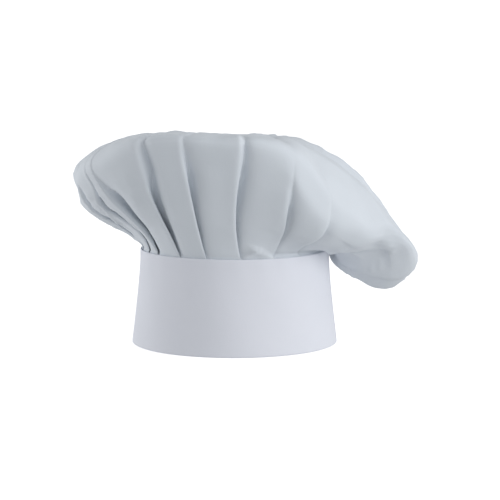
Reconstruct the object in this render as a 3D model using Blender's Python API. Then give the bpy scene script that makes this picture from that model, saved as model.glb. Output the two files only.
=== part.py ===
"""Chef toque: a stiff folded band with a hook-and-loop closure at the back, and a floppy pleated crown.

The hat stands on the rim of its band. The origin is the centre of the head opening in the rim's plane,
+Z is up, the front faces -Y and +X is the side that the crown flops over to.
"""

import math

import bmesh
import bpy
from mathutils import Vector

MM = 0.001

# Driving dimensions, in millimetres and degrees.
BAND_HEIGHT = 88.0
BAND_RADIUS_BOTTOM = 95.5  # outer face, at the rim: 600 mm around
BAND_RADIUS_TOP = 87.0  # outer face, at the crown seam
CLOTH = 0.6  # one poplin layer with its pressed-in seam allowance
CORE = 1.0  # the interfacing, and the pressed pleats that share its slot
GAP = 0.3  # air between sewn layers
SEAM_ALLOWANCE = 11.0  # how far the crown's pleated edge reaches down into the band
BAND_STEP = 5.0  # degrees between the facets of the band

TAB_ROOT = -158.0  # azimuth where the free end of the band leaves it
TAB_LENGTH = 60.0
TAB_JOG = 9.0  # length over which the free end steps out over the other end
TAB_BOTTOM = 1.0
TAB_TOP = 86.5
TAPE = 0.8  # thickness of the hook tape and of the loop tape
TAPE_HEIGHT = 50.0
LOOP_LENGTH = 42.0
HOOK_LENGTH = 36.0
THREAD = 0.5  # diameter of a row of stitches

CROWN_CLOTH = 1.0
CREST_AT = 0.84  # where in a pleat its folded edge stands
PLEAT_DEPTH = 5.0

# Azimuths of the folded edges of the 19 knife pleats, from the front (0) over the right (90).
PLEATS = (
    -82, -66, -54, -35, -17, 4, 25, 45, 65, 88, 108, 128, 148, 170, 192, 213, 234, 252, 266,
)

# The crown's profiles: for each azimuth, (radius, height) of the first roll over the band, three points
# up the side wall, the rim where the crown is widest, the shoulder above it and two points on the top.
CROWN_PROFILES = {
    -145: ((87.3, 93.0), (95, 106), (109, 122), (128, 135), (144, 149), (137, 166), (108, 180), (58, 190)),
    -118: ((87.3, 93.0), (97, 104), (113, 115), (133, 127), (146, 147), (140, 167), (111, 183), (59, 192)),
    -90: ((87.3, 93.0), (98, 102), (114, 108), (134, 121), (144, 140), (144.5, 164), (111, 188), (60, 196)),
    -71: ((87.3, 93.0), (98, 106), (114, 120), (135, 139), (147.5, 161), (139, 178), (111, 191), (61, 197)),
    -55: ((87.3, 93.0), (97, 108), (113, 126), (133, 150), (147, 174), (138, 190), (109, 198), (60, 197)),
    -36: ((87.3, 93.0), (96, 110), (110, 133), (130, 163), (144, 192), (135, 202), (104, 202), (58, 197)),
    -8: ((87.3, 93.0), (95, 110), (107, 135), (125, 168), (140, 196), (133, 203), (100, 203), (54, 198)),
    20: ((87.3, 93.0), (98, 105), (113, 125), (127, 157), (138, 188), (131, 200), (98, 201), (54, 197)),
    30: ((87.3, 92.8), (99, 102), (116, 112), (130, 128), (137, 147), (134, 177), (103, 196), (54, 197)),
    40: ((87.3, 92.5), (101, 98), (118, 105), (130, 114), (137, 129), (134, 153), (107, 186), (54, 196)),
    53: ((87.3, 91.8), (97, 93.5), (112, 96), (126, 104), (137, 117), (136, 134), (110, 173), (57, 193)),
    61: ((87.3, 91.4), (97, 91.8), (112, 91.5), (126, 97.5), (140, 107), (139, 122), (112, 165), (59, 191)),
    67: ((87.5, 91.2), (97, 91), (113, 89.5), (131, 97.5), (148, 110.5), (146, 120), (113, 162), (60, 190)),
    77: ((88.0, 90.9), (98, 87), (119, 80), (144, 85), (165, 95.5), (160.5, 105.5), (114, 159), (60, 190)),
    86: ((88.1, 90.8), (98, 82), (119, 69), (146, 68), (166.5, 78.5), (163, 98), (114, 157), (60, 189)),
    95: ((88.2, 90.7), (98, 78), (119, 61), (146, 55), (163.5, 61), (161, 93), (114, 154), (61, 188)),
    106: ((88.2, 90.7), (98, 77), (118, 55), (142, 45), (156, 52), (152, 92), (115, 151), (61, 187)),
    118: ((88.0, 91.0), (98, 82), (118, 65), (140, 57), (155, 70), (148, 101), (115, 150), (60, 187)),
    133: ((87.6, 91.5), (98, 93), (115, 90), (137, 93), (153, 106), (147, 127), (115, 160), (59, 186)),
    158: ((87.3, 93.0), (95, 105), (109, 119), (128, 129), (145, 141), (139, 155), (109, 171), (58, 186)),
    187: ((87.3, 93.0), (95, 107), (108, 124), (126, 137), (142, 149), (136, 163), (107, 178), (57, 188)),
}
CROWN_CENTRE_HEIGHT = 193.0
SLOT_ROWS = 2
ROWS_PER_SPAN = 3

WHITE_POPLIN = (0.80, 0.81, 0.84)
CROWN_POPLIN = (0.74, 0.76, 0.80)
INTERFACING_WHITE = (0.86, 0.86, 0.84)
TAPE_WHITE = (0.83, 0.83, 0.82)
THREAD_WHITE = (0.88, 0.88, 0.87)
LABEL_WHITE = (0.87, 0.87, 0.86)


# ---------------------------------------------------------------- helpers

def material(name, colour, roughness):
    made = bpy.data.materials.new(name)
    made.use_nodes = True
    shader = made.node_tree.nodes["Principled BSDF"]
    shader.inputs["Base Color"].default_value = (*colour, 1.0)
    shader.inputs["Roughness"].default_value = roughness
    shader.inputs["Metallic"].default_value = 0.0
    return made


def add_object(name, data, surface, parent=None):
    made = bpy.data.objects.new(name, data)
    bpy.context.scene.collection.objects.link(made)
    data.materials.append(surface)
    if parent is not None:
        made.parent = parent
        made.matrix_parent_inverse = parent.matrix_world.inverted()
    return made


def mesh_from(bm, name):
    bmesh.ops.recalc_face_normals(bm, faces=bm.faces)
    mesh = bpy.data.meshes.new(name)
    bm.to_mesh(mesh)
    bm.free()
    mesh.shade_smooth()
    mesh.set_sharp_from_angle(angle=math.radians(35))
    return mesh


def band_radius(height):
    """Outer face of the band at a height, in millimetres."""
    return BAND_RADIUS_BOTTOM + (BAND_RADIUS_TOP - BAND_RADIUS_BOTTOM) * height / BAND_HEIGHT


def on_band(azimuth, height, proud):
    """A point standing `proud` mm outside the band's outer face. Azimuth 0 is the front, 90 is +X."""
    angle = math.radians(azimuth)
    radius = band_radius(height) + proud
    return Vector((radius * math.sin(angle), -radius * math.cos(angle), height)) * MM


def arc_degrees(length):
    """The azimuth that a length takes along the middle of the band."""
    return math.degrees(length / band_radius(BAND_HEIGHT / 2))


def bridge_sections(name, sections, closed=False):
    """One closed body through a row of equal outlines: bridged side to side, and capped at both ends."""
    bm = bmesh.new()
    loops = [[bm.verts.new(point) for point in section] for section in sections]
    count = len(loops[0])
    pairs = list(zip(loops, loops[1:]))
    if closed:
        pairs.append((loops[-1], loops[0]))
    for here, there in pairs:
        for i in range(count):
            j = (i + 1) % count
            bm.faces.new((here[i], here[j], there[j], there[i]))
    if not closed:
        bm.faces.new(loops[0])
        bm.faces.new(loops[-1])
    return mesh_from(bm, name)


def steps(start, end, step):
    """Evenly spaced values from start to end, about a step apart."""
    count = max(1, round(abs(end - start) / step))
    return [start + (end - start) * i / count for i in range(count + 1)]


def folded_outline(azimuth, bottom, top, proud):
    """The band's section: one cloth folded up around the slot that holds the stiffening."""
    outer = proud
    inner = proud - 2 * CLOTH - 2 * GAP - CORE
    floor = bottom + CLOTH
    return [
        on_band(azimuth, bottom, outer),
        on_band(azimuth, top, outer),
        on_band(azimuth, top, outer - CLOTH),
        on_band(azimuth, floor, outer - CLOTH),
        on_band(azimuth, floor, inner + CLOTH),
        on_band(azimuth, top, inner + CLOTH),
        on_band(azimuth, top, inner),
        on_band(azimuth, bottom, inner),
    ]


def plate_outline(azimuth, bottom, top, low, high):
    """A plain section between two heights and two distances outside the band's outer face."""
    return [
        on_band(azimuth, bottom, high),
        on_band(azimuth, top, high),
        on_band(azimuth, top, low),
        on_band(azimuth, bottom, low),
    ]


def stitch_row(name, points, surface, closed, parent=None):
    """A row of stitches as one slender cord along its line."""
    curve = bpy.data.curves.new(name, "CURVE")
    curve.dimensions = "3D"
    curve.bevel_depth = THREAD / 2 * MM
    curve.bevel_resolution = 1
    curve.use_fill_caps = not closed
    spline = curve.splines.new("POLY")
    spline.points.add(len(points) - 1)
    for target, point in zip(spline.points, points):
        target.co = (*point, 1.0)
    spline.use_cyclic_u = closed
    return add_object(name, curve, surface, parent)


def box_of_stitches(start, end, bottom, top, proud):
    """A rectangle of stitches lying on the band's cone, with its corners cut short."""
    corner = 1.5
    turn = arc_degrees(corner) * (1 if end > start else -1)
    low = [on_band(a, bottom, proud) for a in steps(start + turn, end - turn, 4.0)]
    rise = [on_band(end, h, proud) for h in steps(bottom + corner, top - corner, 30.0)]
    high = [on_band(a, top, proud) for a in steps(end - turn, start + turn, 4.0)]
    fall = [on_band(start, h, proud) for h in steps(top - corner, bottom + corner, 30.0)]
    return low + rise + high + fall


# ---------------------------------------------------------------- the crown's shape

def eased(t):
    return t * t * (3 - 2 * t)


def cubic(p0, p1, p2, p3, spans, t):
    """A Catmull-Rom step from p1 to p2, with the three spans between the four knots."""
    before, here, after = spans
    m1 = ((p2 - p1) / here * before + (p1 - p0) / before * here) / (before + here) * here
    m2 = ((p3 - p2) / after * here + (p2 - p1) / here * after) / (here + after) * here
    t2 = t * t
    t3 = t2 * t
    return (2 * t3 - 3 * t2 + 1) * p1 + (t3 - 2 * t2 + t) * m1 + (3 * t2 - 2 * t3) * p2 + (t3 - t2) * m2


def crown_profile(azimuth):
    """The crown's profile at an azimuth, read smoothly around the table of profiles."""
    knots = sorted(CROWN_PROFILES)
    wrapped = (azimuth - knots[0]) % 360 + knots[0]
    index = max(i for i, knot in enumerate(knots) if knot <= wrapped)
    count = len(knots)
    picks = [knots[(index + shift) % count] for shift in (-1, 0, 1, 2)]
    spans = [(b - a) % 360 for a, b in zip(picks, picks[1:])]
    t = (wrapped - picks[1]) / spans[1]
    rows = [CROWN_PROFILES[knot] for knot in picks]
    blended = []
    for points in zip(*rows):
        radius = cubic(*[p[0] for p in points], spans, t)
        height = cubic(*[p[1] for p in points], spans, t)
        blended.append((radius, height))
    return blended


def pleat_phase(azimuth):
    """0 at the foot of a pleat, rising to 1 where the next one starts."""
    feet = sorted(p % 360 for p in PLEATS)
    wrapped = azimuth % 360
    before = max((f for f in feet if f <= wrapped), default=feet[-1] - 360)
    after = min((f for f in feet if f > wrapped), default=feet[0] + 360)
    return (wrapped - before) / (after - before)


def pleat_rise(phase):
    """How far the pleat stands out at a phase: a long rise to the folded edge, then a short fall."""
    if phase < CREST_AT:
        return eased(phase / CREST_AT)
    return 1 - (phase - CREST_AT) / (1 - CREST_AT)


def in_notch(azimuth):
    """True where the crown's edge stays out of the band, over the root of the free end."""
    past_root = (TAB_ROOT - azimuth) % 360
    return past_root < arc_degrees(TAB_JOG) + 4.0 or past_root > 360 - 4.0


def crown_column(azimuth):
    """Points of the crown's middle surface from its edge in the band up to the centre of its top."""
    slot = BAND_RADIUS_TOP - CLOTH - GAP - CORE / 2
    lean = (BAND_RADIUS_BOTTOM - BAND_RADIUS_TOP) / BAND_HEIGHT
    profile = crown_profile(azimuth)
    foot = BAND_HEIGHT + 0.9 if in_notch(azimuth) else BAND_HEIGHT - SEAM_ALLOWANCE
    mouth = BAND_HEIGHT + 1.6
    column = [(slot + lean * (BAND_HEIGHT - foot), foot)]
    column.append((slot, mouth))
    points = [(slot - 0.2, mouth - 6.0), (slot, mouth)] + profile + [(0.0, CROWN_CENTRE_HEIGHT)]
    points.append((-profile[-1][0], profile[-1][1]))
    rise = pleat_rise(pleat_phase(azimuth))
    last = len(points) - 3
    for span in range(1, last + 1):
        p0, p1, p2, p3 = points[span - 1:span + 3]
        rows = 2 if span in (1, last - 1) else ROWS_PER_SPAN
        if span == last:
            rows = ROWS_PER_SPAN + 1
        for row in range(1, rows + 1):
            t = row / rows
            radius = cubic(p0[0], p1[0], p2[0], p3[0], (1, 1, 1), t)
            height = cubic(p0[1], p1[1], p2[1], p3[1], (1, 1, 1), t)
            along = (span - 1 + t) / last
            depth = PLEAT_DEPTH * eased(min(1, along / 0.35)) * eased(min(1, max(0, (0.92 - along) / 0.35)))
            ahead = (p2[0] - p1[0], p2[1] - p1[1])
            size = math.hypot(*ahead)
            out = (ahead[1] / size, -ahead[0] / size)
            radius += out[0] * depth * (rise - 0.8)
            height += out[1] * depth * (rise - 0.8)
            column.append((radius, height))
    return column[:-1]


def crown_mesh():
    """The crown's single cloth: a grid of columns around the band, closed by a fan at the top."""
    feet = sorted(p % 360 for p in PLEATS)
    azimuths = []
    for here, there in zip(feet, feet[1:] + [feet[0] + 360]):
        azimuths += [here + (there - here) * share for share in (0.0, 0.28, 0.56, CREST_AT)]
    bm = bmesh.new()
    columns = []
    for azimuth in azimuths:
        angle = math.radians(azimuth)
        column = [
            bm.verts.new(Vector((r * math.sin(angle), -r * math.cos(angle), z)) * MM)
            for r, z in crown_column(azimuth)
        ]
        columns.append(column)
    top = bm.verts.new(Vector((0, 0, CROWN_CENTRE_HEIGHT)) * MM)
    for here, there in zip(columns, columns[1:] + columns[:1]):
        for row in range(len(here) - 1):
            bm.faces.new((here[row], there[row], there[row + 1], here[row + 1]))
        bm.faces.new((here[-1], there[-1], top))
    mesh = bpy.data.meshes.new("crown")
    bm.to_mesh(mesh)
    bm.free()
    mesh.shade_smooth()
    return mesh


# ---------------------------------------------------------------- build

for old in list(bpy.data.objects):
    bpy.data.objects.remove(old, do_unlink=True)

poplin = material("poplin_band", WHITE_POPLIN, 0.85)
crown_poplin = material("poplin_crown", CROWN_POPLIN, 0.88)
stiffening = material("interfacing", INTERFACING_WHITE, 0.9)
loop_pile = material("loop_tape", TAPE_WHITE, 0.95)
hook_plastic = material("hook_tape", TAPE_WHITE, 0.5)
thread = material("thread", THREAD_WHITE, 0.6)
satin = material("label_satin", LABEL_WHITE, 0.45)

# The band runs from its free end's root all the way round to the end that lies under the free end.
slot_inner = -2 * CLOTH - 2 * GAP - CORE
jog = arc_degrees(TAB_JOG)
tab_end = TAB_ROOT - arc_degrees(TAB_LENGTH)
main_end = TAB_ROOT + arc_degrees(GAP)
under_end = TAB_ROOT - jog

band_azimuths = steps(main_end, under_end + 360, BAND_STEP)
band = bridge_sections(
    "band_cover", [folded_outline(a, 0.0, BAND_HEIGHT, 0.0) for a in band_azimuths]
)
add_object("band_cover", band, poplin)

core_azimuths = steps(main_end + 1.5, under_end + 360 - 1.5, BAND_STEP)
core = bridge_sections(
    "band_interfacing",
    [
        plate_outline(
            a,
            CLOTH + GAP,
            BAND_HEIGHT - SEAM_ALLOWANCE - 1.0,
            -CLOTH - GAP - CORE,
            -CLOTH - GAP,
        )
        for a in core_azimuths
    ],
)
add_object("band_interfacing", core, stiffening)

crown = add_object("crown", crown_mesh(), crown_poplin)
shell = crown.modifiers.new("cloth thickness", "SOLIDIFY")
shell.thickness = CROWN_CLOTH * MM
shell.offset = 0.0
shell.use_even_offset = False
shell.use_rim = True

# The free end turns about the outer face of the band at its root, along the cone.
root_low = on_band(TAB_ROOT, 0.0, 0.0)
root_high = on_band(TAB_ROOT, BAND_HEIGHT, 0.0)
hinge = bpy.data.objects.new("tab_root", None)
bpy.context.scene.collection.objects.link(hinge)
hinge.location = (root_low + root_high) / 2
hinge.rotation_mode = "QUATERNION"
hinge.rotation_quaternion = (root_high - root_low).to_track_quat("Z", "Y")
bpy.context.view_layer.update()

loop_low = GAP
loop_high = loop_low + TAPE
hook_low = loop_high + GAP
hook_high = hook_low + TAPE
tab_low = hook_high + GAP
tab_proud = tab_low - slot_inner


def tab_rise(azimuth):
    """How far the free end stands out: it steps out over the other end, then lies on its tape."""
    share = (TAB_ROOT - azimuth) / jog
    return tab_proud * eased(min(1.0, max(0.0, share)))


tab_azimuths = steps(TAB_ROOT, under_end, 1.1) + steps(under_end, tab_end, 4.0)[1:]
tab = bridge_sections(
    "closure_tab_cover",
    [folded_outline(a, TAB_BOTTOM, TAB_TOP, tab_rise(a)) for a in tab_azimuths],
)
add_object("closure_tab_cover", tab, poplin, hinge)

tab_core_azimuths = steps(under_end - 0.5, tab_end + 1.5, 4.0)
tab_core = bridge_sections(
    "closure_tab_interfacing",
    [
        plate_outline(
            a,
            TAB_BOTTOM + CLOTH + GAP,
            TAB_TOP - 2.0,
            tab_rise(a) - CLOTH - GAP - CORE,
            tab_rise(a) - CLOTH - GAP,
        )
        for a in tab_core_azimuths
    ],
)
add_object("closure_tab_interfacing", tab_core, stiffening, hinge)

tape_bottom = (BAND_HEIGHT - TAPE_HEIGHT) / 2
tape_top = tape_bottom + TAPE_HEIGHT
loop_start = under_end - arc_degrees(3.0)
loop_end = loop_start - arc_degrees(LOOP_LENGTH)
loop_tape = bridge_sections(
    "loop_tape",
    [
        plate_outline(a, tape_bottom, tape_top, loop_low, loop_high)
        for a in steps(loop_start, loop_end, 3.0)
    ],
)
add_object("loop_tape", loop_tape, loop_pile)

hook_end = tab_end + arc_degrees(4.0)
hook_start = hook_end + arc_degrees(HOOK_LENGTH)
hook_tape = bridge_sections(
    "hook_tape",
    [
        plate_outline(a, tape_bottom, tape_top, hook_low, hook_high)
        for a in steps(hook_start, hook_end, 3.0)
    ],
)
add_object("hook_tape", hook_tape, hook_plastic, hinge)

# Rows of stitches. Those of the band show on its inner face, those of the free end on its outer face.
inside = slot_inner - GAP - THREAD / 2
outside = tab_proud + GAP + THREAD / 2
stitch_row(
    "crown_seam_thread",
    [on_band(a, BAND_HEIGHT - 5.0, inside) for a in steps(main_end + 1, under_end + 359, 5.0)],
    thread,
    False,
)
stitch_row(
    "loop_tape_thread",
    box_of_stitches(
        loop_start - arc_degrees(2.5),
        loop_end + arc_degrees(2.5),
        tape_bottom + 2.5,
        tape_top - 2.5,
        inside,
    ),
    thread,
    True,
)
stitch_row(
    "underlap_end_thread",
    [on_band(under_end + 360 - 0.9, h, inside) for h in steps(3.0, BAND_HEIGHT - 8.0, 12.0)],
    thread,
    False,
)
stitch_row(
    "hook_tape_thread",
    box_of_stitches(
        hook_start - arc_degrees(2.5),
        hook_end + arc_degrees(2.5),
        tape_bottom + 2.5,
        tape_top - 2.5,
        outside,
    ),
    thread,
    True,
    hinge,
)
stitch_row(
    "tab_end_thread",
    [on_band(tab_end + arc_degrees(2.5), h, outside) for h in steps(TAB_BOTTOM + 3, TAB_TOP - 3, 12.0)],
    thread,
    False,
    hinge,
)

# A blank size label hangs on the inner face, held by a bar of stitches at its top.
label_middle = 152.0
label_half = arc_degrees(12.0)
label_out = slot_inner - GAP
label = bridge_sections(
    "size_label",
    [
        plate_outline(a, 46.0, 78.0, label_out - 0.4, label_out)
        for a in steps(label_middle - label_half, label_middle + label_half, 4.0)
    ],
)
add_object("size_label", label, satin)
stitch_row(
    "size_label_thread",
    [
        on_band(a, 75.5, label_out - 0.4 - GAP - THREAD / 2)
        for a in steps(label_middle - label_half + 1.5, label_middle + label_half - 1.5, 4.0)
    ],
    thread,
    False,
)
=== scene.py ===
"""The looks of the chef toque: band, pleated floppy crown, back closure, stitches, camera and light."""

import math

import bpy
import numpy as np
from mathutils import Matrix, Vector


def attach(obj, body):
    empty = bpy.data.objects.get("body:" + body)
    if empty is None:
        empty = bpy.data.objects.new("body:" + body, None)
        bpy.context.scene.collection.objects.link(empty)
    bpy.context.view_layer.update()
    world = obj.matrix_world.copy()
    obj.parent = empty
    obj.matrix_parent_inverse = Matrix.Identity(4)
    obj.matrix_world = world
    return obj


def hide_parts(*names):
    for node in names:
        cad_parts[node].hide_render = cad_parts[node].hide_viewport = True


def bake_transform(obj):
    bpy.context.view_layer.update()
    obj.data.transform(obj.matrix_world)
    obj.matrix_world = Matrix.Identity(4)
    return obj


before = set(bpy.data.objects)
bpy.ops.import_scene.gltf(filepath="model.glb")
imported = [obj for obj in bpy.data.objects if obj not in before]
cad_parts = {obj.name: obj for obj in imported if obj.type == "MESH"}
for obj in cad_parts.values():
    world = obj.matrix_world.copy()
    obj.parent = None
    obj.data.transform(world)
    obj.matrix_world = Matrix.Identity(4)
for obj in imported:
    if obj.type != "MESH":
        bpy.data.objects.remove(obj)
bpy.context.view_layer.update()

# ---------------------------------------------------------------- dimensions, metres and degrees

BAND_H = 0.088
R_BOTTOM = 0.0955
R_TOP = 0.0870
CLOTH = 0.00045
BAND_INSET = 0.0028  # from the band's outer face to its inner face
LAID_RADIUS = 0.0915  # turns azimuth into length around the band, for weaves and stitches
TAB_ROOT = -158.0
TAB_LENGTH = 0.060
TAB_JOG = 0.009
TAB_PROUD = 0.0053
TAB_Z = (0.0010, 0.0865)
TAPE_Z = (0.019, 0.069)
CROWN_CUT = 0.57  # diameter of the circle that the crown is cut from

# Knife pleats, in degrees of azimuth: where each folded edge stands at the band, a third of the way up, two
# thirds up and near the rim; then its depth, how far over the rim it reaches, how wide it gapes, and how far
# up the side it stays pressed flat.
PLEATS = (
    (-66.0, -62.0, -67.0, -70.5, 1.45, 1.00, 1.0, 1.00),
    (-54.5, -56.0, -58.0, -60.0, 1.85, 0.96, 2.0, 1.02),
    (-35.0, -37.0, -38.0, -37.0, 1.60, 1.20, 1.6, 1.00),
    (-17.0, -18.5, -19.0, -19.0, 1.20, 1.10, 1.2, 1.10),
    (4.0, 2.0, 1.5, 2.5, 1.20, 1.22, 1.2, 1.10),
    (25.0, 25.0, 24.5, 23.0, 0.70, 1.04, 0.9, 1.00),
    (45.0, 39.5, 38.0, 39.0, 0.80, 1.06, 1.5, 1.00),
    (65.0, 66.0, 69.0, 73.0, 0.60, 0.88, 0.8, 0.95),
    (88.0, 90.0, 93.5, 96.0, 0.50, 0.92, 1.0, 0.60),
    (108.0, 109.0, 112.0, 113.0, 0.80, 1.05, 1.2, 0.55),
    (128.0, 130.5, 131.0, 129.0, 1.20, 1.20, 1.0, 0.70),
    (148.0, 147.0, 149.5, 151.0, 0.90, 1.05, 1.0, 0.50),
    (170.0, 171.5, 170.5, 168.0, 1.10, 1.25, 1.2, 0.60),
    (192.0, 190.5, 192.0, 194.0, 0.95, 1.10, 1.0, 0.55),
    (213.0, 214.5, 213.0, 211.5, 1.15, 1.15, 1.1, 0.70),
    (234.0, 233.0, 234.5, 236.0, 0.90, 1.05, 1.0, 0.50),
    (252.0, 252.5, 252.0, 251.0, 1.05, 1.20, 1.0, 0.60),
    (266.0, 266.5, 266.0, 265.5, 0.90, 1.10, 1.0, 0.80),
    (278.0, 282.0, 281.0, 279.0, 1.35, 1.05, 1.3, 1.00),
)

# Single creases in the crown: start azimuth and row, end azimuth and row, height, and the half-widths on its
# left and right as seen going from start to end (all in mm; a negative height is a groove).
CREASES = (
    (6.5, 0.115, 12.0, 0.215, 2.4, 1.5, 5.0),
    (12.0, 0.215, 23.0, 0.110, 2.2, 1.5, 5.5),
    (25.0, 0.140, 62.0, 0.150, -0.9, 2.2, 2.2),
    (54.0, 0.99, 61.0, 1.00, 1.4, 5.0, 2.0),
    (61.0, 1.00, 66.0, 1.07, 3.2, 7.0, 2.0),
    (66.0, 1.07, 77.0, 1.00, 3.0, 7.0, 2.2),
    (77.0, 1.00, 86.0, 1.00, 1.5, 5.0, 3.0),
    (-13.5, 0.45, -12.0, 1.00, 1.0, 7.0, 8.0),
    (20.5, 0.55, 21.5, 1.02, 1.0, 9.0, 3.0),
    (-30.0, 0.50, -29.0, 0.98, 0.6, 6.0, 6.0),
    (-47.0, 0.80, -43.0, 1.10, 1.3, 2.2, 5.0),
    (36.0, 0.60, 35.0, 1.05, 1.0, 7.0, 8.0),
    (-61.0, 0.45, -65.5, 0.98, 1.3, 1.3, 3.0),
    (-73.5, 0.28, -74.5, 0.96, 1.9, 1.2, 2.8),
    (-77.5, 0.30, -78.5, 0.95, 1.7, 1.2, 2.6),
    (-84.0, 0.30, -84.5, 0.92, 1.5, 1.2, 2.6),
    (-102.0, 1.03, -72.0, 1.02, 1.4, 3.0, 3.0),
    (78.0, 1.38, 120.0, 1.38, -3.5, 13.0, 13.0),
    (74.0, 1.53, 122.0, 1.53, 3.5, 15.0, 15.0),
    (50.0, 0.46, 61.0, 0.50, 1.0, 2.5, 3.0),
    (61.0, 0.50, 77.0, 0.62, 1.2, 2.5, 3.0),
)

# Crown profiles in mm: azimuth -> (radius, height) of the roll over the band, three wall points, the rim,
# the shoulder and two points on the top.
PROFILES = {
    -145: ((87.3, 93.0), (95, 106), (109, 122), (128, 135), (144, 149), (137, 166), (108, 180), (58, 190)),
    -118: ((87.3, 93.0), (97, 104), (113, 115), (133, 127), (146, 147), (140, 167), (111, 183), (59, 192)),
    -90: ((87.3, 93.0), (98, 102), (114, 108), (136, 122), (145, 141), (146, 165), (111, 188), (60, 196)),
    -71: ((87.3, 93.0), (98, 106), (114, 120), (135, 139), (147.5, 161), (139, 178), (111, 191), (61, 197)),
    -55: ((87.3, 93.0), (97, 108), (113, 126), (133, 150), (147, 174), (138, 190), (109, 198), (60, 197)),
    -36: ((87.3, 93.0), (96, 110), (110, 133), (130, 163), (144, 192), (135, 202), (104, 202), (58, 197)),
    -8: ((87.3, 93.0), (95, 110), (107, 135), (125, 168), (140, 196), (133, 203), (100, 203), (54, 198)),
    20: ((87.3, 93.0), (98, 105), (113, 124), (128, 150), (138, 176), (133, 193.5), (99, 199.5), (54, 197)),
    30: ((87.3, 92.8), (99, 102), (116, 112), (130, 128), (137, 147), (134, 177), (103, 196), (54, 197)),
    40: ((87.3, 92.5), (101, 98), (118, 105), (130, 114), (137, 129), (134, 153), (107, 186), (54, 196)),
    53: ((87.3, 91.8), (97, 93.5), (112, 96), (126, 104), (137, 117), (136, 134), (110, 173), (57, 193)),
    61: ((87.3, 91.4), (97, 91.8), (112, 91.5), (126, 97.5), (140, 107), (139, 122), (112, 165), (59, 191)),
    67: ((87.5, 91.2), (97, 91), (113, 89.5), (131, 95), (148.5, 114.5), (146, 124), (112, 162), (60, 190)),
    77: ((88.0, 90.9), (98, 87), (119, 83), (145, 89), (164, 95.5), (158, 105.5), (114, 159), (60, 190)),
    86: ((88.1, 90.8), (98, 78), (119, 70), (146, 73), (166, 81), (161, 97), (113, 154.5), (60, 189)),
    95: ((88.2, 90.7), (98, 71), (119, 61.5), (148, 57), (169, 67), (163, 94), (113, 152), (61, 188)),
    106: ((88.2, 90.7), (98, 70), (118, 57), (142, 46), (157, 51), (152, 92), (115, 151), (61, 187)),
    118: ((88.0, 91.0), (98, 82), (118, 65), (140, 57), (155, 70), (148, 101), (115, 150), (60, 187)),
    133: ((87.6, 91.5), (98, 93), (115, 90), (137, 93), (153, 106), (147, 127), (115, 160), (59, 186)),
    158: ((87.3, 93.0), (95, 105), (109, 119), (128, 129), (145, 141), (139, 155), (109, 171), (58, 186)),
    187: ((87.3, 93.0), (95, 107), (108, 124), (126, 137), (142, 149), (136, 163), (107, 178), (57, 188)),
}
CENTRE_Z = 193.0

# ---------------------------------------------------------------- small helpers


def smooth(t):
    t = np.clip(t, 0.0, 1.0)
    return t * t * (3 - 2 * t)


def grid_object(name, points, closed, uv=None):
    """A mesh from points[column, row], joined into quads; closed joins the last column to the first."""
    columns, rows = points.shape[:2]
    mesh = bpy.data.meshes.new(name)
    index = np.arange(columns * rows).reshape(columns, rows)
    here = index if closed else index[:-1]
    there = np.roll(index, -1, axis=0) if closed else index[1:]
    quads = np.stack([here[:, :-1], there[:, :-1], there[:, 1:], here[:, 1:]], axis=-1).reshape(-1, 4)
    mesh.from_pydata(points.reshape(-1, 3).tolist(), [], quads.tolist())
    if uv is not None:
        column_uv = np.arange(len(here))
        corner_columns = np.stack([column_uv, column_uv + 1, column_uv + 1, column_uv], axis=-1)
        corner_rows = np.array([0, 0, 1, 1])
        across, up = uv
        row_index = np.arange(rows - 1)[None, :, None] + corner_rows[None, None, :]
        col_index = np.broadcast_to(corner_columns[:, None, :], (len(here), rows - 1, 4))
        row_index = np.broadcast_to(row_index, col_index.shape)
        values = np.stack([across[col_index, row_index], up[col_index, row_index]], axis=-1)
        layer = mesh.uv_layers.new(name="cloth")
        layer.data.foreach_set("uv", values.astype(np.float32).ravel())
    mesh.shade_smooth()
    made = bpy.data.objects.new(name, mesh)
    bpy.context.scene.collection.objects.link(made)
    return made


def apply_modifiers(obj):
    graph = bpy.context.evaluated_depsgraph_get()
    fresh = bpy.data.meshes.new_from_object(obj.evaluated_get(graph))
    obj.modifiers.clear()
    obj.data = fresh


def thicken(obj, thickness, offset=-1.0):
    modifier = obj.modifiers.new("cloth", "SOLIDIFY")
    modifier.thickness = thickness
    modifier.offset = offset
    modifier.use_even_offset = False
    apply_modifiers(obj)
    obj.data.shade_smooth()


def band_radius(z):
    return R_BOTTOM + (R_TOP - R_BOTTOM) * z / BAND_H


def arc(length):
    """Degrees that a length takes around the middle of the band."""
    return math.degrees(length / band_radius(BAND_H / 2))


def polar(azimuth, radius, z):
    """Points from azimuth in degrees (0 front, 90 +X), radius and height."""
    angle = np.radians(azimuth)
    return np.stack(np.broadcast_arrays(radius * np.sin(angle), -radius * np.cos(angle), z), axis=-1)


def wander(seed, terms, low, high):
    """A smooth periodic function of azimuth: a few sine waves with seeded phases."""
    rng = np.random.default_rng(seed)
    counts = rng.integers(low, high + 1, terms)
    phases = rng.uniform(0, 2 * math.pi, terms)
    sizes = rng.uniform(0.5, 1.0, terms) / math.sqrt(terms)

    def value(azimuth, shift=0.0):
        angle = np.radians(azimuth)
        total = 0.0
        for count, phase, size in zip(counts, phases, sizes):
            total = total + size * np.sin(count * angle + phase + shift * (1 + 0.37 * count))
        return total

    return value


# ---------------------------------------------------------------- the crown's broad shape

def cubic(p0, p1, p2, p3, spans, t):
    before, here, after = spans
    m1 = ((p2 - p1) / here * before + (p1 - p0) / before * here) / (before + here) * here
    m2 = ((p3 - p2) / after * here + (p2 - p1) / here * after) / (here + after) * here
    t2 = t * t
    t3 = t2 * t
    return (2 * t3 - 3 * t2 + 1) * p1 + (t3 - 2 * t2 + t) * m1 + (3 * t2 - 2 * t3) * p2 + (t3 - t2) * m2


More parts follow.
